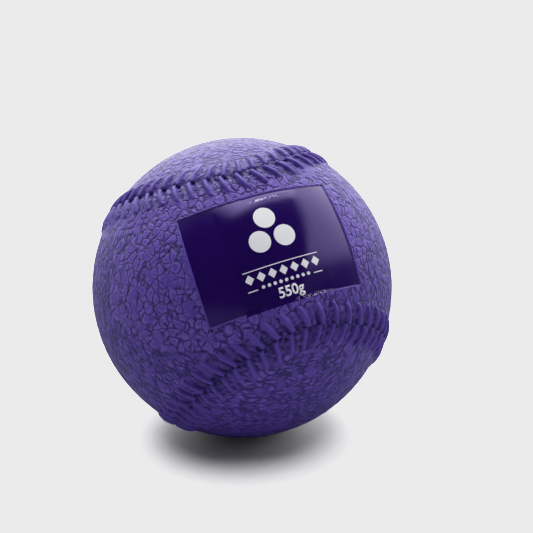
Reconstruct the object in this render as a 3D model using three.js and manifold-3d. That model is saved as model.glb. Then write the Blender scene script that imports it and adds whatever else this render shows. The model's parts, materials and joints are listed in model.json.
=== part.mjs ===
// Weighted juggling ball: a soft moulded PVC skin with a raised, stitched-looking seam, closed
// by a glued stopper round a loose fill of iron grit, with a clear film sticker in its label panel.
// Millimetres, +Z up. The origin is the ball's centre, as the ball lies on a table.

import * as THREE from "three";
import { mergeVertices } from "three/addons/utils/BufferGeometryUtils.js";
import Module from "manifold-3d";

const wasm = await Module();
wasm.setup();

// ---------------------------------------------------------------- driving dimensions

const ballRadius = 36.5;            // the skin between the seams
const wallThickness = 3.2;          // moulded skin
const sitClearance = 0.3;           // between neighbouring solids that touch on the real ball
const filmClearance = 0.2;          // under the thin film

// How the ball lies: the label looks up and forwards, and its lines climb to the right.
const labelElevation = 29.1;        // degrees above level, facing -Y
const labelRoll = 13.1;             // degrees, anticlockwise as read

// The seam: one closed line, as on a baseball, that pinches each of two covers to a waist.
const seamWaistAngle = 0.508;       // radians from a waist's middle to the seam beside it
const seamSway = 0.276;             // radians that the seam's loops lean to each side
const stitchesAlongSeam = 108;      // pairs, one each side of the parting line
const weltHalfWidth = 5.2;          // from the parting line to the welt's foot
const weltHeight = 0.45;            // of the puffed skin beside the parting line
const stitchRise = 0.4;             // of a stitch above the welt
const stitchReach = 4.6;            // from the parting line to a stitch's far end
const stitchStart = 0.5;            // from the parting line to a stitch's near end
const stitchLag = 1.2;              // that a stitch's far end lies behind its near end
const partingLineRise = 0.1;        // floor of the groove above the skin
const weltRoot = 1.0;               // depth of the welt's body inside the wall

// The label panel: a smooth rectangle let into the grained skin, between two runs of the seam.
const panelWidth = 34.2;
const panelSeamGap = 0.85;          // from its long edges to the welt's foot
const panelTurn = 1.9;              // degrees, clockwise as read
const panelDepth = 0.4;
const panelCornerRadius = 0.6;

// The clear sticker in the panel.
const filmWidth = 20;
const filmTopMargin = 1.5;          // below the panel's top edge
const filmFootMargin = 0.7;         // above its foot edge
const filmThickness = 0.1;
const filmCornerRadius = 0.5;
const filmShift = -0.5;             // sideways, from the panel's middle

// The filling hole's stopper, opposite the label.
const stopperHeadRadius = 4.5;
const stopperHeadThickness = 1.4;
const stopperShankRadius = 3.0;
const stopperSink = 0.15;           // of its face below the skin
const stopperEdgeRadius = 0.4;

// The loose fill settles with a level top.
const fillHeadroom = 14.1;          // from its top up to where a full fill would reach

// Facets
const skinDetail = 13;
const cavityDetail = 8;
const roundSegments = 40;
const fillArcSegments = 16;

// ---------------------------------------------------------------- sizes worked out from them

const weltFoot = ballRadius * Math.sin(seamWaistAngle - weltHalfWidth / ballRadius);
const panelHeight = 2 * (weltFoot - panelSeamGap);
const filmHeight = panelHeight - filmTopMargin - filmFootMargin;
const filmDrop = (filmTopMargin - filmFootMargin) / 2;
const cavityRadius = ballRadius - wallThickness;
const panelFloorRadius = ballRadius - panelDepth;
const fillRadius = cavityRadius - sitClearance;
const fillLevel = fillRadius - fillHeadroom;
const cutterReach = ballRadius + weltHeight + stitchRise + 1;
const cutterStart = ballRadius / 2;

// ---------------------------------------------------------------- materials

const skinMaterial = new THREE.MeshStandardMaterial({ color: 0x5a5388, roughness: 0.5, metalness: 0 });
const filmMaterial = new THREE.MeshStandardMaterial({ color: 0x2f2c44, roughness: 0.15, metalness: 0 });
const stopperMaterial = new THREE.MeshStandardMaterial({ color: 0x4e4878, roughness: 0.45, metalness: 0 });
const fillMaterial = new THREE.MeshStandardMaterial({ color: 0x4a4a4c, roughness: 0.7, metalness: 0.8 });

// ---------------------------------------------------------------- solids and booleans

// Turns a closed three.js geometry into a manifold solid.
function solid(geometry) {
  const bare = geometry.clone();
  bare.deleteAttribute("normal");
  bare.deleteAttribute("uv");
  const merged = mergeVertices(bare, 1e-4);
  const mesh = new wasm.Mesh({
    numProp: 3,
    vertProperties: new Float32Array(merged.attributes.position.array),
    triVerts: new Uint32Array(merged.index.array),
  });
  return new wasm.Manifold(mesh);
}

// Gives a manifold solid back as a three.js geometry.
function geometryOf(body) {
  const mesh = body.getMesh();
  const geometry = new THREE.BufferGeometry();
  geometry.setAttribute("position", new THREE.BufferAttribute(mesh.vertProperties, 3));
  geometry.setIndex(new THREE.BufferAttribute(mesh.triVerts, 1));
  geometry.computeVertexNormals();
  return geometry;
}

function sphere(radius, detail) {
  return solid(new THREE.IcosahedronGeometry(radius, detail));
}

// An upright bar with a rounded rectangular outline, along +Z from cutterStart to cutterReach.
// The label's height runs along X and its width along Y, and the bar's middle is on +Z.
function roundedBar(height, width, cornerRadius) {
  const right = height / 2;
  const back = width / 2;
  const outline = new THREE.Shape();
  outline.moveTo(-right + cornerRadius, -back);
  outline.lineTo(right - cornerRadius, -back);
  outline.absarc(right - cornerRadius, -back + cornerRadius, cornerRadius, -Math.PI / 2, 0);
  outline.lineTo(right, back - cornerRadius);
  outline.absarc(right - cornerRadius, back - cornerRadius, cornerRadius, 0, Math.PI / 2);
  outline.lineTo(-right + cornerRadius, back);
  outline.absarc(-right + cornerRadius, back - cornerRadius, cornerRadius, Math.PI / 2, Math.PI);
  outline.lineTo(-right, -back + cornerRadius);
  outline.absarc(-right + cornerRadius, -back + cornerRadius, cornerRadius, Math.PI, 1.5 * Math.PI);
  const bar = new THREE.ExtrudeGeometry(outline, {
    depth: cutterReach - cutterStart,
    bevelEnabled: false,
    curveSegments: 3,
  });
  bar.translate(0, 0, cutterStart);
  return solid(bar);
}

// A solid of revolution about Z from its outline in (radius, height), listed upwards.
function turned(outline) {
  return solid(new THREE.LatheGeometry(outline, roundSegments).rotateX(Math.PI / 2));
}

// ---------------------------------------------------------------- the seam

// Point on the unit sphere at turn t, which runs once round the seam from 0 to 4 pi.
// The label's middle is on +Z, at the waist of one cover.
function seamDirection(t) {
  const polar = Math.PI / 2 - (Math.PI / 2 - seamWaistAngle) * Math.cos(t);
  const around = t / 2 + seamSway * Math.sin(2 * t);
  return new THREE.Vector3(
    Math.sin(polar) * Math.cos(around),
    Math.sin(polar) * Math.sin(around),
    Math.cos(polar),
  );
}

// The seam as a list of turns at equal steps of length.
function evenTurns(count) {
  const fine = 4000;
  const turn = (i) => (i / fine) * 4 * Math.PI;
  const lengths = [0];
  for (let i = 1; i <= fine; i += 1) {
    const step = seamDirection(turn(i)).distanceTo(seamDirection(turn(i - 1)));
    lengths.push(lengths[i - 1] + step);
  }
  const turns = [];
  let j = 0;
  for (let k = 0; k < count; k += 1) {
    const wanted = (lengths[fine] * k) / count;
    while (lengths[j + 1] < wanted) {
      j += 1;
    }
    const share = (wanted - lengths[j]) / (lengths[j + 1] - lengths[j]);
    turns.push(turn(j + share));
  }
  return turns;
}

// One side of the welt's section: across is measured along the skin from the parting line, rise
// from the skin, and a stitch's crest lifts the points that it covers.
const weltSide = [
  { across: stitchStart, rise: weltHeight, crest: stitchRise / 2 },
  { across: (stitchStart + stitchReach) / 2, rise: weltHeight, crest: stitchRise },
  { across: stitchReach, rise: weltHeight / 2, crest: stitchRise / 4 },
  { across: weltHalfWidth, rise: -weltHeight / 2, crest: 0 },
];

function weltSection() {
  const left = weltSide.map((point) => ({ ...point, across: -point.across })).reverse();
  const groove = { across: 0, rise: partingLineRise, crest: 0 };
  const root = [
    { across: weltHalfWidth / 2, rise: -weltRoot, crest: 0 },
    { across: -weltHalfWidth / 2, rise: -weltRoot, crest: 0 },
  ];
  return [...left, groove, ...weltSide, ...root];
}

// The welt is a closed ring swept along the seam. Every second station carries a crest, so each
// side shows a row of raised stitches that lean back from the parting line in chevrons.
function seamWelt() {
  const stations = 2 * stitchesAlongSeam;
  const turns = evenTurns(stations);
  const section = weltSection();
  const points = [];
  turns.forEach((t, i) => {
    const out = seamDirection(t);
    const along = seamDirection(t + 0.001).sub(seamDirection(t - 0.001)).normalize();
    const side = new THREE.Vector3().crossVectors(out, along).normalize();
    for (const { across, rise, crest } of section) {
      const lag = -stitchLag * Math.min(1, Math.abs(across) / stitchReach);
      const angle = Math.hypot(across, lag) / ballRadius;
      const heading = side.clone().multiplyScalar(across).addScaledVector(along, lag);
      const direction = out.clone().multiplyScalar(Math.cos(angle));
      if (heading.lengthSq() > 0) {
        direction.addScaledVector(heading.normalize(), Math.sin(angle));
      }
      const height = ballRadius + rise + (i % 2 === 0 ? crest : 0);
      points.push(...direction.multiplyScalar(height).toArray());
    }
  });
  const index = [];
  const wide = section.length;
  for (let i = 0; i < stations; i += 1) {
    for (let j = 0; j < wide; j += 1) {
      const a = i * wide + j;
      const b = i * wide + ((j + 1) % wide);
      const c = ((i + 1) % stations) * wide + j;
      const d = ((i + 1) % stations) * wide + ((j + 1) % wide);
      index.push(a, c, b, b, c, d);
    }
  }
  const geometry = new THREE.BufferGeometry();
  geometry.setAttribute("position", new THREE.Float32BufferAttribute(points, 3));
  geometry.setIndex(index);
  return solid(geometry);
}

// ---------------------------------------------------------------- the pieces

// The stepped hole and the stopper that fits it share one outline, apart from the clearance.
// Both are drawn about +Z and turned to the side opposite the label.
function stopperOutline(clearance, innerEnd, faceRadius) {
  const head = stopperHeadRadius + clearance;
  const shank = stopperShankRadius + clearance;
  const seat = ballRadius - stopperSink - stopperHeadThickness - clearance;
  const rim = Math.sqrt(faceRadius ** 2 - head ** 2);
  const domeSteps = 4;
  const outline = [
    new THREE.Vector2(0, innerEnd),
    new THREE.Vector2(shank, innerEnd),
    new THREE.Vector2(shank, seat),
    new THREE.Vector2(head, seat),
    new THREE.Vector2(head, rim - stopperEdgeRadius),
  ];
  const edge = Math.asin((head - stopperEdgeRadius) / faceRadius);
  for (let k = 0; k <= domeSteps; k += 1) {
    const lean = edge * (1 - k / domeSteps);
    outline.push(new THREE.Vector2(faceRadius * Math.sin(lean), faceRadius * Math.cos(lean)));
  }
  outline[outline.length - 1].x = 0;
  return outline;
}

function shellBody() {
  const panelBar = roundedBar(panelHeight, panelWidth, panelCornerRadius).rotate([0, 0, -panelTurn]);
  const panelCut = panelBar.subtract(sphere(panelFloorRadius, skinDetail));
  const holeOutline = stopperOutline(sitClearance, cutterStart, cutterReach);
  const fillingHole = turned(holeOutline).rotate([180, 0, 0]);
  return sphere(ballRadius, skinDetail)
    .add(seamWelt())
    .subtract(panelCut)
    .subtract(sphere(cavityRadius, cavityDetail))
    .subtract(fillingHole);
}

function filmBody() {
  const underside = panelFloorRadius + filmClearance;
  return roundedBar(filmHeight, filmWidth, filmCornerRadius)
    .translate([filmDrop, filmShift, 0])
    .intersect(sphere(underside + filmThickness, skinDetail))
    .subtract(sphere(underside, skinDetail));
}

function stopperBody() {
  const outline = stopperOutline(0, cavityRadius + sitClearance / 2, ballRadius - stopperSink);
  return turned(outline).rotate([180, 0, 0]);
}

// The settled grit: a ball a clearance smaller than the cavity, cut level at the top.
function fillBody() {
  const levelAngle = Math.acos(fillLevel / fillRadius);
  const outline = [];
  for (let k = 0; k <= fillArcSegments; k += 1) {
    const polar = Math.PI - ((Math.PI - levelAngle) * k) / fillArcSegments;
    outline.push(new THREE.Vector2(fillRadius * Math.sin(polar), fillRadius * Math.cos(polar)));
  }
  outline[0].x = 0;
  outline.push(new THREE.Vector2(0, fillLevel));
  return turned(outline);
}

// ---------------------------------------------------------------- assembly

function piece(name, body, material) {
  const mesh = new THREE.Mesh(geometryOf(body), material);
  mesh.name = name;
  return mesh;
}

// The skin, film and stopper are drawn with the label's middle on +Z, its foot towards +X and its
// reading direction along +Y, and this group turns them to the way the ball lies.
function restingTurn() {
  const lift = THREE.MathUtils.degToRad(labelElevation);
  const roll = THREE.MathUtils.degToRad(labelRoll);
  const outward = new THREE.Vector3(0, -Math.cos(lift), Math.sin(lift));
  const level = new THREE.Vector3(1, 0, 0);
  const upward = new THREE.Vector3(0, Math.sin(lift), Math.cos(lift));
  const reading = level.clone().multiplyScalar(Math.cos(roll)).addScaledVector(upward, Math.sin(roll));
  const foot = level.multiplyScalar(Math.sin(roll)).addScaledVector(upward, -Math.cos(roll));
  return new THREE.Matrix4().makeBasis(foot, reading, outward);
}

const cover = new THREE.Group();
cover.applyMatrix4(restingTurn());
cover.add(piece("shell", shellBody(), skinMaterial));
cover.add(piece("label_film", filmBody(), filmMaterial));
cover.add(piece("stopper", stopperBody(), stopperMaterial));

const ball = new THREE.Group();
ball.add(cover);
ball.add(piece("loose_fill", fillBody(), fillMaterial));

export default ball;
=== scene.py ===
import json
import math

import bmesh
import bpy
import numpy as np
from mathutils import Matrix, Vector


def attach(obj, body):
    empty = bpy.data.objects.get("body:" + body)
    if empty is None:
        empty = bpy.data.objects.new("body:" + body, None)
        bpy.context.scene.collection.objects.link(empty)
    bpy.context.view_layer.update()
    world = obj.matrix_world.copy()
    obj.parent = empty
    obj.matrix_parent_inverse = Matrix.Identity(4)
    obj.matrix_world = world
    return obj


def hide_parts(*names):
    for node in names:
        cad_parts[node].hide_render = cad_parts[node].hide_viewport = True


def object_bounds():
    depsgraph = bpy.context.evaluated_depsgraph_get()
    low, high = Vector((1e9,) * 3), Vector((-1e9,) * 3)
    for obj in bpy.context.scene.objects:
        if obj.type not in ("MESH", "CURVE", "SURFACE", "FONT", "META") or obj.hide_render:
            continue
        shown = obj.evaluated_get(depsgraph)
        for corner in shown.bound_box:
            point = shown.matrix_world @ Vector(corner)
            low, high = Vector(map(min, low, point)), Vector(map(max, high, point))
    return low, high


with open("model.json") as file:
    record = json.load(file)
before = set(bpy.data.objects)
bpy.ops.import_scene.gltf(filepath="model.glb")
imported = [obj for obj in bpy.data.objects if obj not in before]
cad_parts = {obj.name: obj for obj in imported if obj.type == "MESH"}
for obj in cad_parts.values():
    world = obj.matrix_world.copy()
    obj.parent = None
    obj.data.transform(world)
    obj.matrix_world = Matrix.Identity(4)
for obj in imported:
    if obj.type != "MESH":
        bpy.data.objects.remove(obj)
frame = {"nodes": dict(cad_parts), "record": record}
CAD_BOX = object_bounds()

# A weighted juggling ball: soft purple PVC moulded with a baseball's seam and leather grain, a
# smooth label panel with a clear printed sticker, and a stopper in the filling hole behind.
# Lengths are in millimetres until a mesh is written, and angles are in degrees where named so.

MM = 0.001

# ---------------------------------------------------------------- driving sizes

REST_POINT = next(m for m in frame["record"]["mounts"] if m["name"] == "rest_point")
BALL_RADIUS = -REST_POINT["pos_m"][2] / MM
FLOOR_HEIGHT = CAD_BOX[0][2]

# The label faces forward and up, and its lines of print climb to the right.
LABEL_ELEVATION_DEG = 29.1
LABEL_ROLL_DEG = 13.1

# The seam: its curve, the moulded stitches, the hollows beside them and the welt under them.
SEAM_WAIST_ANGLE = 0.508
SEAM_SWAY = 0.276
STITCH_PAIRS = 108
STITCH_REACH = 4.75
STITCH_START = 0.25
STITCH_LAG = 1.3
STITCH_HALF_WIDTH = 0.66
STITCH_RISE = 0.58
STITCH_BOW = 0.06
STITCH_TAPER = 0.45
STITCH_ROUNDNESS = 0.95
INNER_END = 0.35
FAR_ROW_SHIFT = 0.8
FLANK = 1.05
FLANK_SPREAD = 0.42
HOLLOW_DEPTH = 0.14
PIT_REACH = 0.6
PIT_SPREAD = 0.5
PIT_DEPTH = 0.18
WELT_HEIGHT = 0.3
WELT_CREST = 2.1
WELT_SPREAD = 2.5
PARTING_DEPTH = 0.06
PARTING_HALF_WIDTH = 0.35

WALL_THICKNESS = 3.2

# The sunk, polished panel, in the label's frame: x towards its foot and y along its print.
PANEL_WIDTH = 34.6
PANEL_HEIGHT = 23.8
PANEL_DROP = 0.3
PANEL_TAPER = 0.85
PANEL_BULGE = 0.5
PANEL_DEPTH = 0.3
PANEL_CORNER = 0.4
PANEL_TURN_DEG = -1.5
PANEL_WALL = 0.1

# The clear sticker, its glue, and the places where it stands off the panel.
FILM_TOP = -10.6
FILM_FOOT = 12.35
FILM_LEFT = -10.2
FILM_RIGHT = 9.4
FILM_THICKNESS = 0.03
GLUE_THICKNESS = 0.03
FOLD_LIFT = 0.1
CRUMPLE_LIFT = 0.02
BUBBLE_PLACE = (11.6, -6.3)
BUBBLE_RADIUS = 0.5
BUBBLE_LIFT = 0.08

# The stopper in the filling hole.
STOPPER_HEAD_RADIUS = 4.5
STOPPER_HEAD_THICKNESS = 1.4
STOPPER_SHANK_RADIUS = 3.0
STOPPER_GAP = 0.2
STOPPER_SINK = 0.15
STOPPER_ROUND_OVER = 0.35
HOLE_RIM_DIP = 0.1
HOLE_RIM_SPREAD = 0.25

# The skin's mesh: cells along a quarter turn, and how far its finer cells reach.
COARSE_CELLS = 150
FINE_ZONE = 5.6
RIM_ZONE = 1.2
SHARP_EDGE_DEG = 40


def turned_to_rest():
    """From the label's own frame (foot, reading direction, outward) to the way the ball lies."""
    lift = math.radians(LABEL_ELEVATION_DEG)
    roll = math.radians(LABEL_ROLL_DEG)
    outward = Vector((0, -math.cos(lift), math.sin(lift)))
    level = Vector((1, 0, 0))
    upward = Vector((0, math.sin(lift), math.cos(lift)))
    reading = level * math.cos(roll) + upward * math.sin(roll)
    foot = level * math.sin(roll) - upward * math.cos(roll)
    return Matrix((foot, reading, outward)).transposed().to_4x4()


REST_TURN = turned_to_rest()


# ---------------------------------------------------------------- helpers for meshes

def smooth_step(low, high, value):
    share = np.clip((value - low) / (high - low), 0.0, 1.0)
    return share * share * (3.0 - 2.0 * share)


def mesh_object(name, points_mm, faces):
    """A mesh piece drawn in the label's frame, in millimetres, and turned to the ball's rest."""
    mesh = bpy.data.meshes.new(name)
    mesh.from_pydata((np.asarray(points_mm) * MM).tolist(), [], [list(f) for f in faces])
    mesh.validate()
    mesh.transform(REST_TURN)
    mesh.shade_smooth()
    mesh.set_sharp_from_angle(angle=math.radians(SHARP_EDGE_DEG))
    piece = bpy.data.objects.new(name, mesh)
    bpy.context.scene.collection.objects.link(piece)
    return piece


def baked_in(piece):
    """Applies the piece's modifiers to its mesh."""
    bpy.context.view_layer.update()
    graph = bpy.context.evaluated_depsgraph_get()
    mesh = bpy.data.meshes.new_from_object(piece.evaluated_get(graph), depsgraph=graph)
    piece.modifiers.clear()
    old = piece.data
    mesh.name = old.name + "_made"
    piece.data = mesh
    bpy.data.meshes.remove(old)


# ---------------------------------------------------------------- helpers for nodes

def add(tree, kind, inputs=None, **settings):
    """Adds a node with its settings, and sets or links its inputs, by name or number."""
    node = tree.nodes.new(kind)
    for name, value in settings.items():
        setattr(node, name, value)
    for key, value in (inputs or {}).items():
        if isinstance(value, bpy.types.NodeSocket):
            tree.links.new(value, node.inputs[key])
        else:
            node.inputs[key].default_value = value
    return node


def linear(hex_colour):
    """An sRGB hex colour as linear red, green, blue and alpha."""
    parts = [int(hex_colour[i:i + 2], 16) / 255 for i in (1, 3, 5)]
    return [p / 12.92 if p <= 0.04045 else ((p + 0.055) / 1.055) ** 2.4 for p in parts] + [1.0]


def material(name):
    """A new material with its node tree and its Principled shader."""
    made = bpy.data.materials.new(name)
    made.use_nodes = True
    shader = made.node_tree.nodes["Principled BSDF"]
    return made, made.node_tree, shader


def place_on_label(tree):
    """The shaded point in the label's own frame, in which the grain is laid out."""
    at_rest = add(tree, "ShaderNodeTexCoord").outputs["Object"]
    return add(tree, "ShaderNodeVectorRotate",
               {"Vector": at_rest, "Rotation": REST_TURN.to_euler()},
               rotation_type="EULER_XYZ", invert=True).outputs[0]


def per_mm(length_mm):
    """A texture's scale from the real size of its cells."""
    return 1.0 / (length_mm * MM)


# ---------------------------------------------------------------- the seam

def seam_directions(turn):
    """The seam on a unit ball, for turns from 0 to 4 pi. The label's middle is on +Z."""
    polar = math.pi / 2 - (math.pi / 2 - SEAM_WAIST_ANGLE) * np.cos(turn)
    around = turn / 2 + SEAM_SWAY * np.sin(2 * turn)
    return np.stack(
        [np.sin(polar) * np.cos(around), np.sin(polar) * np.sin(around), np.cos(polar)], axis=-1
    )


def even_seam(count):
    """Points at equal steps along the seam, with the directions along and across it."""
    turn = np.linspace(0, 4 * math.pi, 40 * STITCH_PAIRS + 1)
    steps = np.linalg.norm(np.diff(seam_directions(turn), axis=0), axis=1)
    length = np.concatenate([[0.0], np.cumsum(steps)])
    even = np.interp(np.arange(count) * length[-1] / count, length, turn)
    here = seam_directions(even)
    along = seam_directions(even + 1e-3) - seam_directions(even - 1e-3)
    along /= np.linalg.norm(along, axis=1)[:, None]
    return here, along, np.cross(here, along), length[-1] * BALL_RADIUS


def beside_seam(directions):
    """For each direction: millimetres across the seam, to its left, and along it."""
    count = 20 * STITCH_PAIRS
    here, along, side, total = even_seam(count)
    across = np.empty(len(directions))
    onward = np.empty(len(directions))
    for start in range(0, len(directions), 20000):
        block = directions[start:start + 20000]
        nearest = (block.astype(np.float32) @ here.T.astype(np.float32)).argmax(axis=1)
        sine = np.einsum("ij,ij->i", block, side[nearest])
        ahead = np.einsum("ij,ij->i", block, along[nearest])
        across[start:start + 20000] = np.arcsin(np.clip(sine, -1, 1)) * BALL_RADIUS
        onward[start:start + 20000] = nearest * total / count + ahead * BALL_RADIUS
    return across, onward, total


def seam_relief(across, onward, total):
    """Height of the welt with its stitches, the stitches' share, and painted shade for the parting,
    pits and hollows.
    """
    chance = np.random.default_rng(7)
    pitch = total / STITCH_PAIRS
    reach = np.abs(across)
    row = (across < 0).astype(int)
    run = np.clip((reach - STITCH_START) / (STITCH_REACH - STITCH_START), 0, 1.2)
    lagged = onward + STITCH_LAG * run - STITCH_BOW * np.sin(math.pi * np.clip(run, 0, 1))
    lagged = lagged + FAR_ROW_SHIFT * row
    number = np.floor(lagged / pitch).astype(int) % STITCH_PAIRS
    # Each stitch is a little off in its place, width, length and height.
    uneven = chance.uniform(-1, 1, (4, 2, STITCH_PAIRS))[:, row, number]
    offset = (lagged / pitch - np.floor(lagged / pitch) - 0.5) * pitch + 0.1 * uneven[0]
    far_end = STITCH_REACH + 0.2 * uneven[2]
    half_width = STITCH_HALF_WIDTH * (1 + 0.1 * uneven[1]) * (1.05 - 0.15 * run)
    past_end = np.maximum(reach - far_end + half_width, 0) + np.maximum(INNER_END - reach, 0)
    round_top = np.clip(1 - (np.hypot(offset, past_end) / half_width) ** 2, 0, 1)
    stitch = round_top**STITCH_ROUNDNESS
    crest = np.exp(-(((reach - WELT_CREST) / WELT_SPREAD) ** 2))
    wander = 0.15 * np.sin(onward * 1.7) + 0.1 * np.sin(onward * 3.1 + 1.0)
    parting = np.exp(-(((across - wander) / PARTING_HALF_WIDTH) ** 2)) * (1 - 0.6 * stitch)
    beside = np.exp(-(((np.abs(offset) - FLANK) / FLANK_SPREAD) ** 2))
    pit = beside * np.exp(-(((reach - PIT_REACH) / PIT_SPREAD) ** 2))
    fading = 1 - smooth_step(STITCH_REACH - 1.0, STITCH_REACH + 0.6, reach)
    hollow = HOLLOW_DEPTH * beside * fading
    height = WELT_HEIGHT * crest - PARTING_DEPTH * parting - PIT_DEPTH * pit - hollow
    tapered = 1 - STITCH_TAPER * smooth_step(0.5, 1.0, run)
    height += STITCH_RISE * (1 + 0.12 * uneven[3]) * tapered * stitch
    # Painted shade: the parting, the pits and the hollows beside the stitches darken the skin's
    # colour.
    shade = np.clip(0.2 * parting + 0.3 * pit + 3.0 * hollow, 0, 1)
    return height, stitch, shade


# ---------------------------------------------------------------- the skin

def cube_ball(cells):
    """A ball of square cells: unit directions in the label's frame, and the cells' corners."""
    row = np.arange(cells + 1)
    first, second = np.meshgrid(row, row, indexing="ij")
    lattice = []
    quads = []
    corner = np.arange((cells + 1) ** 2).reshape(cells + 1, cells + 1)
    ring = [corner[:-1, :-1], corner[1:, :-1], corner[1:, 1:], corner[:-1, 1:]]
    square = np.stack([part.ravel() for part in ring], axis=1)
    for axis in range(3):
        for end in (0, cells):
            sheet = np.zeros((cells + 1, cells + 1, 3), dtype=int)
            sheet[..., axis] = end
            sheet[..., (axis + 1) % 3] = first
            sheet[..., (axis + 2) % 3] = second
            quads.append((square if end else square[:, ::-1]) + len(lattice) * corner.size)
            lattice.append(sheet.reshape(-1, 3))
    points, index = np.unique(np.concatenate(lattice), axis=0, return_inverse=True)
    faces = index.reshape(-1)[np.concatenate(quads)]
    spread = np.tan((points / cells - 0.5) * math.pi / 2)
    return spread / np.linalg.norm(spread, axis=1)[:, None], faces


def panel_frame(x, y, backwards=False):
    """Turns flat label coordinates into the panel's own, or back."""
    turn = math.radians(-PANEL_TURN_DEG if backwards else PANEL_TURN_DEG)
    return x * math.cos(turn) + y * math.sin(turn), y * math.cos(turn) - x * math.sin(turn)


def outside_panel(x, y):
    """Distance outside the panel's rounded outline, negative inside, and its direction.

    The panel is a little narrower at its top, and its left side bulges a little.
    """
    u, v = panel_frame(x - PANEL_DROP, y)
    level = np.clip(2 * u / PANEL_HEIGHT, -1, 1)
    drawn_in = np.where(v > 0, PANEL_TAPER * (1 - level) / 2, -PANEL_BULGE * (1 - level**2))
    over_u = np.abs(u) - PANEL_HEIGHT / 2 + PANEL_CORNER
    over_v = np.abs(v) + drawn_in - PANEL_WIDTH / 2 + PANEL_CORNER
    past = np.hypot(np.maximum(over_u, 0), np.maximum(over_v, 0))
    distance = past + np.minimum(np.maximum(over_u, over_v), 0) - PANEL_CORNER
    at_corner = (over_u > 0) & (over_v > 0)
    along_u = np.where(at_corner, over_u / np.maximum(past, 1e-9), over_u > over_v)
    along_v = np.where(at_corner, over_v / np.maximum(past, 1e-9), over_u <= over_v)
    way_u, way_v = panel_frame(along_u * np.sign(u), along_v * np.sign(v), backwards=True)
    return distance, way_u, way_v


def gathered(distance, cell, wall):
    """Draws points near an edge onto its lip, at 0, and its foot, at -wall, without folding."""
    close = 0.03
    before = [-5 * cell, -1.5 * cell, -0.501 * cell, -0.499 * cell, 0.5 * cell, 4 * cell]
    after = [-5 * cell, -wall - close, -wall + close, -close, close, 4 * cell]
    moved = np.interp(distance, before, after)
    return np.where((distance < before[0]) | (distance > before[-1]), distance, moved)


def gather_panel_edge(directions, cell):
    """Moves points near the label panel's outline so that its low wall is crisp."""
    x, y, z = (directions * BALL_RADIUS).T
    distance, way_x, way_y = outside_panel(x, y)
    front = (z > 0) & (np.abs(distance) < 6 * cell)
    shift = np.where(front, gathered(distance, cell, PANEL_WALL) - distance, 0)
    x = x + shift * way_x
    y = y + shift * way_y
    z = np.where(front, np.sqrt(np.maximum(BALL_RADIUS**2 - x**2 - y**2, 0)), z)
    return np.stack([x, y, z], axis=1) / BALL_RADIUS


def from_hole(x, y, z):
    """Distance outside the rim of the filling hole, which is opposite the label."""
    return np.where(z < 0, np.hypot(x, y) - STOPPER_HEAD_RADIUS - STOPPER_GAP, BALL_RADIUS)


def gather_hole_rim(directions, cell):
    """Moves points near the filling hole onto its rim."""
    x, y, z = (directions * BALL_RADIUS).T
    distance = from_hole(x, y, z)
    before = [-4 * cell, -0.5 * cell, 0.5 * cell, 4 * cell]
    wanted = np.interp(distance, before, [-4 * cell, 0, 0, 4 * cell])
    shift = np.where(np.abs(distance) < 4 * cell, wanted - distance, 0)
    radius = np.hypot(x, y)
    grow = 1 + shift / np.maximum(radius, 1e-6)
    x = x * grow
    y = y * grow
    z = np.where(shift != 0, -np.sqrt(np.maximum(BALL_RADIUS**2 - x**2 - y**2, 0)), z)
    return np.stack([x, y, z], axis=1) / BALL_RADIUS


def mesh_points(mesh):
    points = np.empty(3 * len(mesh.vertices))
    mesh.vertices.foreach_get("co", points)
    return points.reshape(-1, 3)


def fine_cube_ball():
    """A unit ball, with cells half as wide along the seam, the panel's edge and the hole."""
    directions, faces = cube_ball(COARSE_CELLS)
    mesh = bpy.data.meshes.new("moulded_skin")
    mesh.from_pydata(directions.tolist(), [], faces.tolist())
    x, y, z = (directions * BALL_RADIUS).T
    at_panel = (z > 0) & (np.abs(outside_panel(x, y)[0]) < RIM_ZONE)
    at_hole = np.abs(from_hole(x, y, z)) < RIM_ZONE
    fine = (np.abs(beside_seam(directions)[0]) < FINE_ZONE) | at_panel | at_hole
    sheet = bmesh.new()
    sheet.from_mesh(mesh)
    sheet.verts.ensure_lookup_table()
    edges = [e for e in sheet.edges if fine[e.verts[0].index] and fine[e.verts[1].index]]
    bmesh.ops.subdivide_edges(sheet, edges=edges, cuts=1, use_grid_fill=True)
    sheet.to_mesh(mesh)
    sheet.free()
    return mesh


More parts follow.
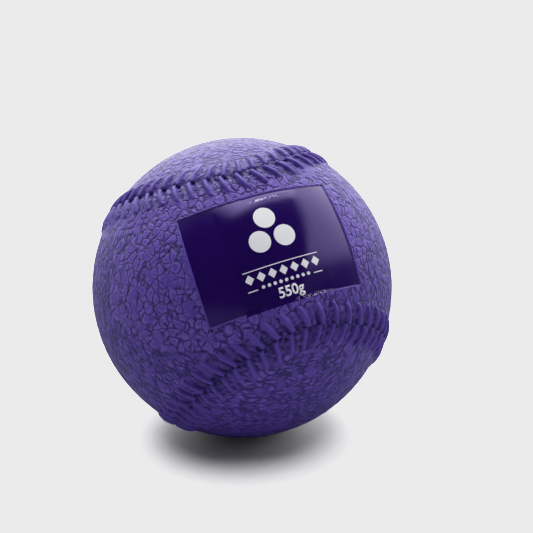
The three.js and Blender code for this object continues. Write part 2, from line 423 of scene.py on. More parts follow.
def open_hole(mesh):
    """Opens the filling hole and lines the skin with its inner wall, as one closed body."""
    cavity = BALL_RADIUS - WALL_THICKNESS
    head = STOPPER_HEAD_RADIUS + STOPPER_GAP
    shank = STOPPER_SHANK_RADIUS + STOPPER_GAP
    seat = BALL_RADIUS - STOPPER_SINK - STOPPER_HEAD_THICKNESS - STOPPER_GAP
    rings = [(head, seat + 0.5), (head, seat), (shank, seat)]
    start = math.asin(shank / cavity)
    for lean in np.linspace(start, math.pi, 60)[:-1]:
        rings.append((cavity * math.sin(lean), cavity * math.cos(lean)))
    sheet = bmesh.new()
    sheet.from_mesh(mesh)
    inside = []
    for face in sheet.faces:
        if all(v.co.z < 0 and math.hypot(v.co.x, v.co.y) < (head + 0.01) * MM for v in face.verts):
            inside.append(face)
    bmesh.ops.delete(sheet, geom=inside, context="FACES")
    edge = [e for e in sheet.edges if e.is_boundary]
    for vert in {v for e in edge for v in e.verts}:
        outward = Vector((vert.co.x, vert.co.y)).normalized() * head * MM
        vert.co.xy = outward
    for radius, height in rings:
        made = bmesh.ops.extrude_edge_only(sheet, edges=edge)["geom"]
        edge = [g for g in made if isinstance(g, bmesh.types.BMEdge)]
        for vert in (g for g in made if isinstance(g, bmesh.types.BMVert)):
            vert.co.xy = Vector((vert.co.x, vert.co.y)).normalized() * radius * MM
            vert.co.z = -height * MM
    last = list({v for e in edge for v in e.verts})
    bmesh.ops.pointmerge(sheet, verts=last, merge_co=(0, 0, cavity * MM))
    bmesh.ops.recalc_face_normals(sheet, faces=sheet.faces[:])
    sheet.to_mesh(mesh)
    sheet.free()


def skin():
    """The whole skin, in the label's frame: relief outside, with its shares for the materials."""
    mesh = fine_cube_ball()
    cell = BALL_RADIUS * math.pi / 4 / COARSE_CELLS
    directions = mesh_points(mesh)
    directions /= np.linalg.norm(directions, axis=1)[:, None]
    directions = gather_panel_edge(directions, cell)
    directions = gather_hole_rim(directions, cell)
    across, onward, total = beside_seam(directions)
    height, stitch, painted_seam_shade = seam_relief(across, onward, total)
    between = 1 - 0.25 * (1 - smooth_step(3.2, 5.2, np.abs(across)))
    x, y, z = (directions * BALL_RADIUS).T
    distance = outside_panel(x, y)[0]
    climb = smooth_step(-0.75 * PANEL_WALL, -0.25 * PANEL_WALL, distance)
    on_panel = np.where(z > 0, 1 - climb, 0)
    from_rim = from_hole(x, y, z)
    by_rim = np.exp(-((from_rim / HOLE_RIM_SPREAD) ** 2))
    height = height * (1 - on_panel) - PANEL_DEPTH * on_panel - HOLE_RIM_DIP * by_rim
    off_lip = np.where(z > 0, smooth_step(0.0, 0.35, distance), 1)
    off_lip = off_lip * smooth_step(0.1, 0.8, from_rim)
    share = (1 - on_panel) * off_lip * (1 - smooth_step(0.0, 0.3, stitch)) * between
    points = directions * (BALL_RADIUS + height)[:, None] * MM
    mesh.vertices.foreach_set("co", points.ravel())
    # The seam's painted shade is stored with the shares, for the skin's colour to darken by.
    for name, values in (("grain_share", share), ("polished", on_panel), ("painted_seam_shade", painted_seam_shade)):
        layer = mesh.attributes.new(name, "FLOAT", "POINT")
        layer.data.foreach_set("value", values.astype(np.float32))
    open_hole(mesh)
    mesh.shade_smooth()
    piece = bpy.data.objects.new("moulded_skin", mesh)
    bpy.context.scene.collection.objects.link(piece)
    return piece


# ---------------------------------------------------------------- leather grain

# Sizes of pebbles and grooves, and how far the grain wanders. The coarse grain fills an
# egg-shaped zone round the label, whose axes are given in shares of the ball's radius.
COARSE_PEBBLE = 2.0
FINE_PEBBLE = 2.3
GRAIN_STRETCH = 2.7
GROOVE_DEPTH = 0.2
NARROW_GROOVE = 0.1
WIDE_GROOVE = 0.24
FINE_GRAIN_SHARE = 0.85
COARSE_BEND = 3.6
FINE_BEND = 2.5
COARSE_REACH = (2.0, 1.1, 0.8)
COARSE_OFFSET = (0.0, 0.22, -0.8)
MESH_GROOVE_WIDENING = 2.2
MESH_GROOVE_SHARE = 0.5
NO_GROOVE_NEAR = 9.0


def ramp(tree, value, start, end, low, high):
    """A value eased from low to high between start and end."""
    return add(tree, "ShaderNodeMapRange",
               {"Value": value, "From Min": start, "From Max": end, "To Min": low, "To Max": high},
               interpolation_type="SMOOTHSTEP").outputs[0]


def math_of(tree, operation, *values):
    """Works through several values with one kind of sum."""
    result = values[0]
    for value in values[1:]:
        result = add(tree, "ShaderNodeMath", {0: result, 1: value}, operation=operation).outputs[0]
    return result


def noise_at(tree, place, size_mm, detail=2.0, roughness=0.5):
    """Soft noise with lumps of a real size."""
    return add(tree, "ShaderNodeTexNoise", {"Vector": place, "Scale": per_mm(size_mm),
                                            "Detail": detail, "Roughness": roughness})


def leather_grain(tree, place, widening):
    """Grain moulded from leather, at a place on the skin: 1 on a pebble and 0 in a groove, and
    the pebbles' raised rims.

    The pebbles are large beside the label, and small and drawn out into wrinkles far from it.
    """
    on_ball = add(tree, "ShaderNodeVectorMath", {0: place}, operation="NORMALIZE")
    smooth = add(tree, "ShaderNodeVectorMath", {0: on_ball.outputs[0], "Scale": BALL_RADIUS * MM},
                 operation="SCALE").outputs[0]
    drift = noise_at(tree, smooth, 4.0, 4.0, 0.62)
    centred = add(tree, "ShaderNodeVectorMath", {0: drift.outputs["Color"], 1: (0.5, 0.5, 0.5)},
                  operation="SUBTRACT")
    beside = add(tree, "ShaderNodeVectorMath",
                 {0: on_ball.outputs[0], 1: COARSE_REACH, 2: COARSE_OFFSET},
                 operation="MULTIPLY_ADD")
    off_label = add(tree, "ShaderNodeVectorMath", {0: beside.outputs[0]},
                    operation="LENGTH").outputs["Value"]
    edge = NO_GROOVE_NEAR
    for size, stretch, bend, share in (
        (COARSE_PEBBLE, 1.0, COARSE_BEND, ramp(tree, off_label, 0.95, 1.1, 0.0, 3.0)),
        (FINE_PEBBLE, GRAIN_STRETCH, FINE_BEND, ramp(tree, off_label, 0.8, 0.95, 3.0, 0.0)),
    ):
        moved = add(tree, "ShaderNodeVectorMath",
                    {0: centred.outputs[0], 1: (bend * MM, bend * MM, bend * MM), 2: smooth},
                    operation="MULTIPLY_ADD")
        drawn = add(tree, "ShaderNodeVectorMath", {0: moved.outputs[0], 1: (1.0, 1.0, stretch)},
                    operation="MULTIPLY")
        cells = add(tree, "ShaderNodeTexVoronoi",
                    {"Vector": drawn.outputs[0], "Scale": per_mm(size), "Randomness": 1.0},
                    feature="DISTANCE_TO_EDGE")
        away = math_of(tree, "MULTIPLY", cells.outputs["Distance"], size / stretch)
        edge = math_of(tree, "MINIMUM", math_of(tree, "ADD", away, share), edge)
    uneven = noise_at(tree, smooth, 1.6).outputs[0]
    width = ramp(tree, uneven, 0.36, 0.62, NARROW_GROOVE * widening, WIDE_GROOVE * widening)
    depth = math_of(tree, "MULTIPLY", ramp(tree, off_label, 0.65, 1.15, 1.0, FINE_GRAIN_SHARE),
                    ramp(tree, noise_at(tree, smooth, 2.4).outputs[0], 0.36, 0.5, 0.2, 1.0))
    sunk = math_of(tree, "MULTIPLY", ramp(tree, edge, 0.0, width, 1.0, 0.0), depth)
    pebble = math_of(tree, "SUBTRACT", 1.0, sunk)
    lip = math_of(tree, "ADD", width, 0.22)
    foot = math_of(tree, "MULTIPLY", width, 0.6)
    rim = math_of(tree, "MULTIPLY", ramp(tree, edge, foot, lip, 0.0, 1.0),
                  ramp(tree, edge, lip, math_of(tree, "ADD", lip, 0.3), 1.0, 0.0), depth)
    return pebble, rim


def grain_relief(piece):
    """Presses the grain's wider grooves into the mesh itself, along each point's own radius."""
    tree = bpy.data.node_groups.new("leather grain relief", "GeometryNodeTree")
    tree.interface.new_socket("Skin", in_out="INPUT", socket_type="NodeSocketGeometry")
    tree.interface.new_socket("Skin", in_out="OUTPUT", socket_type="NodeSocketGeometry")
    way_in = add(tree, "NodeGroupInput")
    place = add(tree, "GeometryNodeInputPosition")
    grain, _ = leather_grain(tree, place.outputs[0], MESH_GROOVE_WIDENING)
    share = add(tree, "GeometryNodeInputNamedAttribute", {"Name": "grain_share"}, data_type="FLOAT")
    fall = math_of(tree, "SUBTRACT", grain, 1.0)
    deepest = MESH_GROOVE_SHARE * GROOVE_DEPTH * MM
    depth = math_of(tree, "MULTIPLY", fall, share.outputs[0], deepest)
    outward = add(tree, "ShaderNodeVectorMath", {0: place.outputs[0]}, operation="NORMALIZE")
    shift = add(tree, "ShaderNodeVectorMath", {0: outward.outputs[0], "Scale": depth},
                operation="SCALE")
    pressed = add(tree, "GeometryNodeSetPosition",
                  {"Geometry": way_in.outputs[0], "Offset": shift.outputs[0]})
    add(tree, "NodeGroupOutput", {0: pressed.outputs[0]})
    modifier = piece.modifiers.new("leather grain relief", "NODES")
    modifier.node_group = tree
    baked_in(piece)


# ---------------------------------------------------------------- materials

def moulded_pvc():
    """Soft PVC as rotational moulding leaves it: satin, with painted shade in its grooves and the
    seam's hollows, and a painted highlight on the pebbles' rims."""
    made, tree, shader = material("moulded soft PVC, leather grain")
    place = place_on_label(tree)
    share = add(tree, "ShaderNodeAttribute", attribute_name="grain_share").outputs["Fac"]
    painted_seam_shade = add(tree, "ShaderNodeAttribute", attribute_name="painted_seam_shade").outputs["Fac"]
    pebble, rim = leather_grain(tree, place, 1.0)
    sunk = math_of(tree, "MULTIPLY", math_of(tree, "SUBTRACT", 1.0, pebble), share)
    raised = math_of(tree, "MULTIPLY", rim, share)
    pores = noise_at(tree, place, 0.35, 3.0).outputs[0]
    height = math_of(tree, "SUBTRACT", math_of(tree, "MULTIPLY", raised, 0.28), sunk)
    height = math_of(tree, "ADD", height, math_of(tree, "MULTIPLY", pores, 0.12))
    bump = add(tree, "ShaderNodeBump", {"Height": height, "Distance": GROOVE_DEPTH * MM,
                                        "Strength": 1.0})
    cloud = noise_at(tree, place, 14, 3.0).outputs[0]
    body = add(tree, "ShaderNodeMix",
               {0: cloud, 6: linear("#3e2a7c"), 7: linear("#463285")}, data_type="RGBA").outputs[2]
    # Painted highlight: the pebbles' raised rims are lightened in the colour.
    painted_rim_highlight = add(tree, "ShaderNodeMix",
               {0: math_of(tree, "MULTIPLY", raised, 0.5), 6: body, 7: linear("#6350a2")},
               data_type="RGBA").outputs[2]
    # Painted shade: the grooves, and the seam's parting, pits and hollows, darken to deep indigo.
    shade = add(tree, "ShaderNodeMath", {0: sunk, 1: painted_seam_shade}, operation="ADD", use_clamp=True)
    colour = add(tree, "ShaderNodeMix",
                 {0: shade.outputs[0], 6: painted_rim_highlight, 7: linear("#1c114e")}, data_type="RGBA")
    gloss = ramp(tree, pores, 0.3, 0.7, 0.44, 0.56)
    tree.links.new(colour.outputs[2], shader.inputs["Base Color"])
    tree.links.new(gloss, shader.inputs["Roughness"])
    tree.links.new(bump.outputs[0], shader.inputs["Normal"])
    shader.inputs["IOR"].default_value = 1.45
    shader.inputs["Specular IOR Level"].default_value = 0.24
    return made


def polished_pvc():
    """The same PVC against a polished patch of the mould: glossy, with a faint orange peel."""
    made, tree, shader = material("mould-polished soft PVC")
    place = add(tree, "ShaderNodeTexCoord").outputs["Object"]
    peel = noise_at(tree, place, 2.5)
    bump = add(tree, "ShaderNodeBump", {"Height": peel.outputs[0], "Distance": 0.01 * MM,
                                        "Strength": 1.0})
    specks = add(tree, "ShaderNodeTexVoronoi", {"Vector": place, "Scale": per_mm(1.6)})
    dust = add(tree, "ShaderNodeMapRange", {"Value": specks.outputs["Distance"], "From Min": 0.03,
                                            "From Max": 0.05, "To Min": 0.35, "To Max": 0.0})
    colour = add(tree, "ShaderNodeMix",
                 {0: dust.outputs[0], 6: linear("#1a0447"), 7: linear("#6d6390")}, data_type="RGBA")
    smear = noise_at(tree, place, 6, 4.0)
    gloss = add(tree, "ShaderNodeMapRange",
                {"Value": smear.outputs[0], "From Min": 0.3, "From Max": 0.7, "To Min": 0.12,
                 "To Max": 0.19})
    tree.links.new(colour.outputs[2], shader.inputs["Base Color"])
    tree.links.new(gloss.outputs[0], shader.inputs["Roughness"])
    tree.links.new(bump.outputs[0], shader.inputs["Normal"])
    shader.inputs["IOR"].default_value = 1.52
    shader.inputs["Specular Tint"].default_value = linear("#c9b4ff")
    return made


def clear_film():
    """A clear polypropylene sticker stuck flat on the panel: it shows the PVC's dark indigo through
    it, with a harder gloss and fine scuffs, and painted silvery reflections where air lies under
    it."""
    made, tree, shader = material("clear polypropylene film on PVC")
    place = add(tree, "ShaderNodeTexCoord").outputs["Object"]
    ripple = noise_at(tree, place, 7)
    scuff = noise_at(tree, place, 0.8, 4.0)
    bump = add(tree, "ShaderNodeBump", {"Height": ripple.outputs[0], "Distance": 0.03 * MM,
                                        "Strength": 1.0})
    body = add(tree, "ShaderNodeMix",
               {0: ripple.outputs[0], 6: linear("#15033f"), 7: linear("#190546")},
               data_type="RGBA")
    crumple = noise_at(tree, place, 0.8, 1.5).outputs[0]
    lifted = add(tree, "ShaderNodeAttribute", attribute_name="lifted").outputs["Fac"]
    # Painted reflection: pale silvery glints along crumples where the film is lifted off the panel.
    painted_glint = math_of(tree, "MULTIPLY", ramp(tree, crumple, 0.44, 0.48, 0.0, 1.0),
                     ramp(tree, crumple, 0.51, 0.55, 1.0, 0.0), lifted)
    colour = add(tree, "ShaderNodeMix",
                 {0: painted_glint, 6: body.outputs[2], 7: linear("#b9b2d0")}, data_type="RGBA")
    gloss = add(tree, "ShaderNodeMapRange",
                {"Value": scuff.outputs[0], "From Min": 0.35, "From Max": 0.7, "To Min": 0.07,
                 "To Max": 0.16})
    tree.links.new(colour.outputs[2], shader.inputs["Base Color"])
    tree.links.new(gloss.outputs[0], shader.inputs["Roughness"])
    tree.links.new(bump.outputs[0], shader.inputs["Normal"])
    shader.inputs["IOR"].default_value = 1.49
    shader.inputs["Specular Tint"].default_value = linear("#c9b4ff")
    return made


def white_ink():
    """Screen-printed white ink: an even, slightly rough film of pigment."""
    made, tree, shader = material("screen-printed white ink")
    place = add(tree, "ShaderNodeTexCoord").outputs["Object"]
    grainy = noise_at(tree, place, 0.25)
    colour = add(tree, "ShaderNodeMix",
                 {0: grainy.outputs[0], 6: linear("#bfc1c6"), 7: linear("#d4d5da")},
                 data_type="RGBA")
    gloss = add(tree, "ShaderNodeMapRange", {"Value": grainy.outputs[0], "To Min": 0.3,
                                             "To Max": 0.45})
    tree.links.new(colour.outputs[2], shader.inputs["Base Color"])
    tree.links.new(gloss.outputs[0], shader.inputs["Roughness"])
    return made


def stopper_pvc():
    """Injection-moulded PVC stopper: smoother and a touch darker than the skin round it."""
    made, tree, shader = material("injection-moulded soft PVC")
    place = add(tree, "ShaderNodeTexCoord").outputs["Object"]
    peel = noise_at(tree, place, 0.5, 3.0)
    bump = add(tree, "ShaderNodeBump", {"Height": peel.outputs[0], "Distance": 0.03 * MM,
                                        "Strength": 1.0})
    colour = add(tree, "ShaderNodeMix",
                 {0: peel.outputs[0], 6: linear("#392a71"), 7: linear("#42317a")}, data_type="RGBA")
    gloss = add(tree, "ShaderNodeMapRange", {"Value": peel.outputs[0], "To Min": 0.32,
                                             "To Max": 0.46})
    tree.links.new(colour.outputs[2], shader.inputs["Base Color"])
    tree.links.new(gloss.outputs[0], shader.inputs["Roughness"])
    tree.links.new(bump.outputs[0], shader.inputs["Normal"])
    shader.inputs["IOR"].default_value = 1.52
    return made


def iron_grit():
    """Loose crushed iron grit of about half a millimetre: dark grains with a dull metal glint."""
    made, tree, shader = material("crushed iron grit")
    place = add(tree, "ShaderNodeTexCoord").outputs["Object"]
    grains = add(tree, "ShaderNodeTexVoronoi", {"Vector": place, "Scale": per_mm(0.6)})
    heap = math_of(tree, "SUBTRACT", 1.0, grains.outputs["Distance"])
    bump = add(tree, "ShaderNodeBump", {"Height": heap, "Distance": 0.4 * MM, "Strength": 1.0})
    tone = add(tree, "ShaderNodeSeparateColor", {0: grains.outputs["Color"]})
    colour = add(tree, "ShaderNodeMix",
                 {0: tone.outputs[0], 6: linear("#2e2c2b"), 7: linear("#5f5b57")}, data_type="RGBA")
    gloss = add(tree, "ShaderNodeMapRange", {"Value": tone.outputs[1], "To Min": 0.4,
                                             "To Max": 0.75})
    tree.links.new(colour.outputs[2], shader.inputs["Base Color"])
    tree.links.new(gloss.outputs[0], shader.inputs["Roughness"])
    tree.links.new(bump.outputs[0], shader.inputs["Normal"])
    shader.inputs["Metallic"].default_value = 0.8
    return made


# ---------------------------------------------------------------- pieces on the ball

def build_skin():
    """The skin with its grain pressed in, grained outside the panel and polished inside it."""
    piece = skin()
    grain_relief(piece)
    mesh = piece.data
    mesh.transform(REST_TURN)
    mesh.materials.append(moulded_pvc())
    mesh.materials.append(polished_pvc())
    level = np.empty(len(mesh.vertices), dtype=np.float32)
    mesh.attributes["polished"].data.foreach_get("value", level)
    slots = [int(all(level[v] > 0.99 for v in face.vertices)) for face in mesh.polygons]
    mesh.polygons.foreach_set("material_index", slots)
    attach(piece, "ball")
    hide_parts("shell")


def on_label(x, y, radius):
    """Points of the label, given flat in the label's frame, raised onto a ball of that radius."""
    x = np.asarray(x, dtype=float)
    y = np.asarray(y, dtype=float)
    return np.stack([x, y, np.sqrt(np.maximum(radius**2 - x**2 - y**2, 0))], axis=-1)


def build_film():
    """The sticker: it lies on the panel, climbs its lower lip and is puckered and lifted there."""
    rows = np.linspace(FILM_TOP, FILM_FOOT, 100)
    columns = np.linspace(FILM_LEFT, FILM_RIGHT, 88)
    x, y = np.meshgrid(rows, columns, indexing="ij")
    distance = outside_panel(x, y)[0]
    climb = smooth_step(-0.4, 0.05, distance)
    lift = -PANEL_DEPTH * (1 - climb) + FILM_THICKNESS
    puckered = smooth_step(0.3, 1.2, y) * (1 - smooth_step(6.8, 7.8, y))
    folds = np.sin(4.1 * y + 1.3 * np.sin(1.9 * y)) * np.sin(2.3 * y + 0.8)
    lift += FOLD_LIFT * np.abs(folds) * puckered * smooth_step(-1.1, 0.1, distance)
    lifted = smooth_step(-2.6, -1.0, y) * (1 - smooth_step(3.6, 5.4, y))
    lifted = lifted * (1 - smooth_step(-10.4, -9.9, x))
    crumples = np.sin(5.3 * y + 2.1 * np.sin(2.9 * y)) * np.sin(3.1 * y + 6.0 * x)
    lift += CRUMPLE_LIFT * crumples * lifted
    from_bubble = np.hypot(x - BUBBLE_PLACE[0], y - BUBBLE_PLACE[1])
    lift += BUBBLE_LIFT * np.exp(-(((from_bubble - BUBBLE_RADIUS) / 0.17) ** 2))
    flat = on_label(x, y, BALL_RADIUS)
    outward = flat / np.linalg.norm(flat, axis=-1, keepdims=True)
    top = BALL_RADIUS + GLUE_THICKNESS + lift
    upper = outward * top[..., None]
    lower = outward * (top - FILM_THICKNESS)[..., None]
    tall, wide = x.shape
    upper_at = np.arange(tall * wide).reshape(tall, wide)
    lower_at = upper_at + tall * wide
    faces = []
    for i in range(tall - 1):
        for j in range(wide - 1):
            a, b = upper_at[i, j], upper_at[i + 1, j]
            c, d = upper_at[i + 1, j + 1], upper_at[i, j + 1]
            faces.append((a, b, c, d))
            e, f = lower_at[i, j], lower_at[i + 1, j]
            g, h = lower_at[i + 1, j + 1], lower_at[i, j + 1]
            faces.append((h, g, f, e))
    rim = [(0, j) for j in range(wide - 1, 0, -1)] + [(i, 0) for i in range(tall - 1)]
    rim += [(tall - 1, j) for j in range(wide - 1)]
    rim += [(i, wide - 1) for i in range(tall - 1, 0, -1)]
    for (i, j), (k, l) in zip(rim, rim[1:] + rim[:1]):
        faces.append((upper_at[k, l], upper_at[i, j], lower_at[i, j], lower_at[k, l]))
    points = np.concatenate([upper.reshape(-1, 3), lower.reshape(-1, 3)])
    piece = mesh_object("label_sticker", points, faces)
    off_panel = np.maximum(0.6 * puckered * smooth_step(-0.7, -0.3, distance),
                           lifted * (1 - smooth_step(-10.3, -9.7, x)))
    layer = piece.data.attributes.new("lifted", "FLOAT", "POINT")
    layer.data.foreach_set("value", np.tile(off_panel.ravel(), 2).astype(np.float32))
    piece.data.materials.append(clear_film())
    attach(piece, "ball")
    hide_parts("label_film")


INK_THICKNESS = 0.03
INK_RADIUS = BALL_RADIUS - PANEL_DEPTH + GLUE_THICKNESS + FILM_THICKNESS + INK_THICKNESS
INK_MIDDLE = -0.4


def disc_outline(x, y, radius, sides=48):
    turn = np.arange(sides) * 2 * math.pi / sides
    return [(x + radius * math.cos(t), y + radius * math.sin(t)) for t in turn]


def bar_outline(left, right, low, high):
    return [(left, low), (right, low), (right, high), (left, high)]


def lozenge_outline(x, y, half_width, half_height):
    return [(x - half_width, y), (x, y - half_height), (x + half_width, y), (x, y + half_height)]


def print_outlines():
    """The generic print, read upright: x runs along the lines and y up the label.

    Three discs, a rule, a row of diamonds, then a row of dots between two dashes.
    """
    marks = []
    for x, y in ((-2.75, 1.3), (2.75, 1.3), (0, 6.05)):
        marks.append(disc_outline(INK_MIDDLE + x, y, 2.3))
    marks.append(bar_outline(-8.7, 8.0, -4.06, -3.88))
    for k in range(7):
        marks.append(lozenge_outline(-7.7 + 2.45 * k, -5.6, 0.95, 1.05))
    for k in range(9):
        marks.append(disc_outline(-5.4 + 1.26 * k, -7.7, 0.36, 20))
    marks.append(bar_outline(-8.7, -6.6, -8.0, -7.8))
    marks.append(bar_outline(5.9, 8.0, -8.0, -7.8))
    return marks


def weight_mark():
    """The weight in plain figures, as a flat mesh."""
    text = bpy.data.curves.new("weight_mark", "FONT")
    text.body = "550g"
    text.size = 2.95
    text.align_x = "CENTER"
    text.offset = 0.06
    text.resolution_u = 6
    holder = bpy.data.objects.new("weight_mark", text)
    bpy.context.scene.collection.objects.link(holder)
    bpy.context.view_layer.update()
    graph = bpy.context.evaluated_depsgraph_get()
    mesh = bpy.data.meshes.new_from_object(holder.evaluated_get(graph), depsgraph=graph)
    mesh.transform(Matrix.Translation((INK_MIDDLE + 0.4, -10.9, 0)))
    bpy.data.objects.remove(holder)
    bpy.data.curves.remove(text)
    return mesh


def build_print():
    """The ink as one thin layer that follows the film."""
    sheet = bmesh.new()
    for outline in print_outlines():
        corners = [sheet.verts.new((x, y, 0)) for x, y in outline]
        sheet.faces.new(corners)
    figures = weight_mark()
    sheet.from_mesh(figures)
    bpy.data.meshes.remove(figures)
    for face in sheet.faces:
        if face.normal.z < 0:
            face.normal_flip()
    for _ in range(3):
        bmesh.ops.triangulate(sheet, faces=sheet.faces[:])
        long_edges = [e for e in sheet.edges if e.calc_length() > 0.8]
        bmesh.ops.subdivide_edges(sheet, edges=long_edges, cuts=1)
    bmesh.ops.triangulate(sheet, faces=sheet.faces[:])
    bmesh.ops.recalc_face_normals(sheet, faces=sheet.faces[:])
    if sum(face.normal.z for face in sheet.faces) < 0:
        bmesh.ops.reverse_faces(sheet, faces=sheet.faces[:])
    for vert in sheet.verts:
        vert.co = Vector(on_label(-vert.co.y, vert.co.x, INK_RADIUS)) * MM
    mesh = bpy.data.meshes.new("printed_ink")
    sheet.to_mesh(mesh)
    sheet.free()
    piece = bpy.data.objects.new("printed_ink", mesh)
    bpy.context.scene.collection.objects.link(piece)
    thick = piece.modifiers.new("ink layer", "SOLIDIFY")
    thick.thickness = INK_THICKNESS * MM
    thick.offset = -1
    baked_in(piece)
    piece.data.transform(REST_TURN)
    piece.data.materials.append(white_ink())
    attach(piece, "ball")


def build_stopper():
    """A stopper with a shank, its face domed to the ball, with the dimple of its moulding gate."""
    face = BALL_RADIUS - STOPPER_SINK
    seat = face - STOPPER_HEAD_THICKNESS
    flank = STOPPER_HEAD_RADIUS - STOPPER_ROUND_OVER
    shoulder = math.sqrt(face**2 - STOPPER_HEAD_RADIUS**2) - 0.33
    profile = []
    for radius, dimple in ((0.0, 0.35), (0.35, 0.33), (0.6, 0.12), (0.8, 0.02)):
        profile.append((radius, face - dimple))
    for radius in np.linspace(1.0, flank, 9):
        profile.append((radius, math.sqrt(face**2 - radius**2)))
    for turn in np.radians(np.linspace(30, 90, 4)):
        out = STOPPER_ROUND_OVER * math.sin(turn)
        up = STOPPER_ROUND_OVER * math.cos(turn)
        profile.append((flank + out, shoulder + up))
    tip = BALL_RADIUS - WALL_THICKNESS + 0.15
    bevel = 0.25
    profile.append((STOPPER_HEAD_RADIUS, seat))
    profile.append((STOPPER_SHANK_RADIUS, seat))
    profile.append((STOPPER_SHANK_RADIUS, tip + bevel))
    profile.append((STOPPER_SHANK_RADIUS - bevel, tip))
    profile.append((0.0, tip))
    sides = 72
    points = []
    rings = []
    for radius, height in profile:
        count = sides if radius else 1
        rings.append(range(len(points), len(points) + count))
        for k in range(count):
            turn = 2 * math.pi * k / sides
            points.append((radius * math.cos(turn), radius * math.sin(turn), -height))
    faces = []
    for ring, following in zip(rings, rings[1:]):
        for k in range(sides):
            a = ring[k % len(ring)]
            b = ring[(k + 1) % len(ring)]
            c = following[(k + 1) % len(following)]
            d = following[k % len(following)]
            faces.append([v for v, w in zip((a, b, c, d), (b, c, d, a)) if v != w])
    piece = mesh_object("filling_stopper", points, faces)
    piece.data.materials.append(stopper_pvc())
    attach(piece, "ball")
    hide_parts("stopper")


def finish_grit():
    """The loose fill keeps its solid and gets the look of iron grit."""
    grit = frame["nodes"]["loose_fill"]
    grit.data.materials.clear()
    grit.data.materials.append(iron_grit())


# ---------------------------------------------------------------- floor, light and camera

CAMERA_PLACE = (-41.7, -186.4, 52.1)
CAMERA_TILT_DEG = 13.81
CAMERA_TURN_DEG = -14.36
LENS_MM = 54.03

FLOOR_HALF_WIDTH_M = 4.0
FLOOR_LIGHT_WIDTH_M = 1.74
FLOOR_LIGHT_HEIGHT_M = 1.2
FLOOR_LIGHT_WATTS = 87.0

# The soft box and the wall are placed by how far a direction leans from straight up, sideways
# and backwards, along these two level lines.
BOX_SIDEWAYS = (0.894, 0.447, 0.0)
BOX_BACKWARDS = (-0.447, 0.894, 0.0)
BOX_STRENGTH = 7.1
WALL_STRENGTH = 2.6
ROOM_IN_FRONT = 0.06
ROOM_BEHIND = 1.9
BACKDROP = 1.2


def build_floor():
    """The floor is over-exposed where it is seen, gives back less light than it seems to, and is
    darker still in the gloss of the ball."""
    half = FLOOR_HALF_WIDTH_M
    mesh = bpy.data.meshes.new("floor")
    corners = [(-half, -half), (half, -half), (half, half), (-half, half)]
    mesh.from_pydata([(x, y, FLOOR_HEIGHT) for x, y in corners], [], [(0, 1, 2, 3)])
    floor = bpy.data.objects.new("floor", mesh)
    bpy.context.scene.collection.objects.link(floor)
    made, tree, shader = material("satin white acrylic")
    place = add(tree, "ShaderNodeTexCoord").outputs["Object"]
    tooth = noise_at(tree, place, 0.8)
    bump = add(tree, "ShaderNodeBump", {"Height": tooth.outputs[0], "Distance": 0.05 * MM})
    path = add(tree, "ShaderNodeLightPath")
    mirrored = add(tree, "ShaderNodeMix",
                   {0: path.outputs["Is Glossy Ray"], 6: linear("#7e7e82"), 7: linear("#464649")},
                   data_type="RGBA").outputs[2]
    colour = add(tree, "ShaderNodeMix",
                 {0: path.outputs["Is Camera Ray"], 6: mirrored, 7: linear("#b4b4b6")},
                 data_type="RGBA")
    tree.links.new(colour.outputs[2], shader.inputs["Base Color"])
    tree.links.new(bump.outputs[0], shader.inputs["Normal"])
    shader.inputs["Roughness"].default_value = 0.5
    shader.inputs["Specular IOR Level"].default_value = 0.2
    mesh.materials.append(made)
    return floor


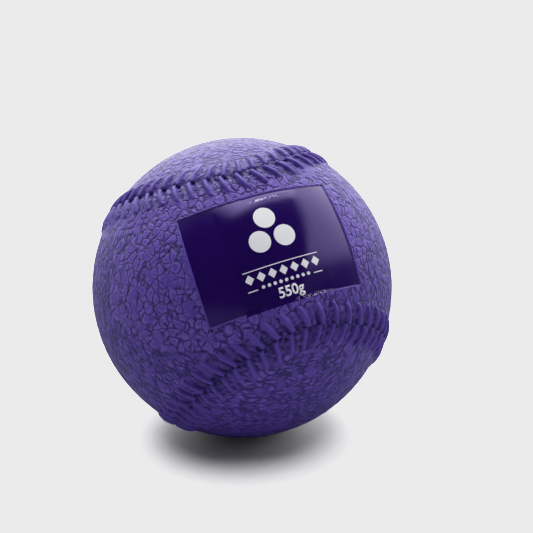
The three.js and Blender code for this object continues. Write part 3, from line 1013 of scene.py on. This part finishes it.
def build_light():
    """A soft box overhead and behind, a paler wall to the right, a white room behind the ball and
    a dark one in front of it."""
    world = bpy.data.worlds.new("soft studio")
    bpy.context.scene.world = world
    world.use_nodes = True
    tree = world.node_tree
    tree.nodes.clear()
    way = add(tree, "ShaderNodeTexCoord").outputs["Generated"]
    parts = add(tree, "ShaderNodeSeparateXYZ", {0: way})
    height = math_of(tree, "MAXIMUM", parts.outputs["Z"], 0.02)
    lean = []
    for axis in (BOX_SIDEWAYS, BOX_BACKWARDS):
        run = add(tree, "ShaderNodeVectorMath", {0: way, 1: axis}, operation="DOT_PRODUCT")
        lean.append(math_of(tree, "DIVIDE", run.outputs["Value"], height))
    sideways, backwards = lean
    box = math_of(tree, "MULTIPLY", ramp(tree, sideways, -0.5, -0.12, 0.0, BOX_STRENGTH),
                  ramp(tree, sideways, 0.45, 0.65, 1.0, 0.0),
                  ramp(tree, backwards, -0.34, -0.16, 0.0, 1.0),
                  ramp(tree, backwards, 1.0, 1.5, 1.0, 0.0))
    wall = math_of(tree, "MULTIPLY", ramp(tree, sideways, 0.4, 0.65, 0.0, WALL_STRENGTH),
                   ramp(tree, sideways, 0.8, 5.0, 1.0, 0.35),
                   ramp(tree, backwards, -3.2, -1.2, 0.1, 1.0),
                   ramp(tree, parts.outputs["Z"], 0.0, 0.25, 0.2, 1.0))
    room = ramp(tree, parts.outputs["Y"], -0.3, 0.6, ROOM_IN_FRONT, ROOM_BEHIND)
    total = math_of(tree, "ADD", box, wall, room)
    lit = add(tree, "ShaderNodeBackground", {"Color": (1, 1, 1, 1), "Strength": total})
    seen = add(tree, "ShaderNodeBackground", {"Color": (1, 1, 1, 1), "Strength": BACKDROP})
    path = add(tree, "ShaderNodeLightPath")
    mixed = add(tree, "ShaderNodeMixShader",
                {0: path.outputs["Is Camera Ray"], 1: lit.outputs[0], 2: seen.outputs[0]})
    add(tree, "ShaderNodeOutputWorld", {0: mixed.outputs[0]})


def build_floor_light(floor):
    """A wide overhead light for the floor alone, which keeps the ball's shadow short and soft."""
    lamp = bpy.data.lights.new("floor light", "AREA")
    lamp.shape = "DISK"
    lamp.size = FLOOR_LIGHT_WIDTH_M
    lamp.energy = FLOOR_LIGHT_WATTS
    holder = bpy.data.objects.new("floor light", lamp)
    bpy.context.scene.collection.objects.link(holder)
    holder.location = (0, 0, FLOOR_HEIGHT + FLOOR_LIGHT_HEIGHT_M)
    lit = bpy.data.collections.new("lit by the floor light")
    lit.objects.link(floor)
    holder.light_linking.receiver_collection = lit


def build_camera():
    lens = bpy.data.cameras.new("camera")
    lens.lens = LENS_MM
    lens.sensor_width = 36.0
    lens.clip_start = 0.01
    lens.clip_end = 50.0
    camera = bpy.data.objects.new("camera", lens)
    camera.location = [c * MM for c in CAMERA_PLACE]
    camera.rotation_euler = (math.radians(90 - CAMERA_TILT_DEG), 0, math.radians(CAMERA_TURN_DEG))
    bpy.context.scene.collection.objects.link(camera)
    bpy.context.scene.camera = camera


PAPER_WHITE = 0.83


def set_exposure():
    """Rolls the highlights off to a paper white a little below full, as a soft print does."""
    view = bpy.context.scene.view_settings
    view.view_transform = "Standard"
    view.use_curve_mapping = True
    curve = view.curve_mapping.curves[3]
    for level, shown in ((0.25, 0.25), (0.5, 0.5), (0.75, 0.71)):
        curve.points.new(level, shown)
    curve.points[-1].location = (1.0, PAPER_WHITE)
    view.curve_mapping.extend = "HORIZONTAL"
    view.curve_mapping.update()


build_skin()
build_film()
build_print()
build_stopper()
finish_grit()
build_floor_light(build_floor())
build_light()
build_camera()
set_exposure()
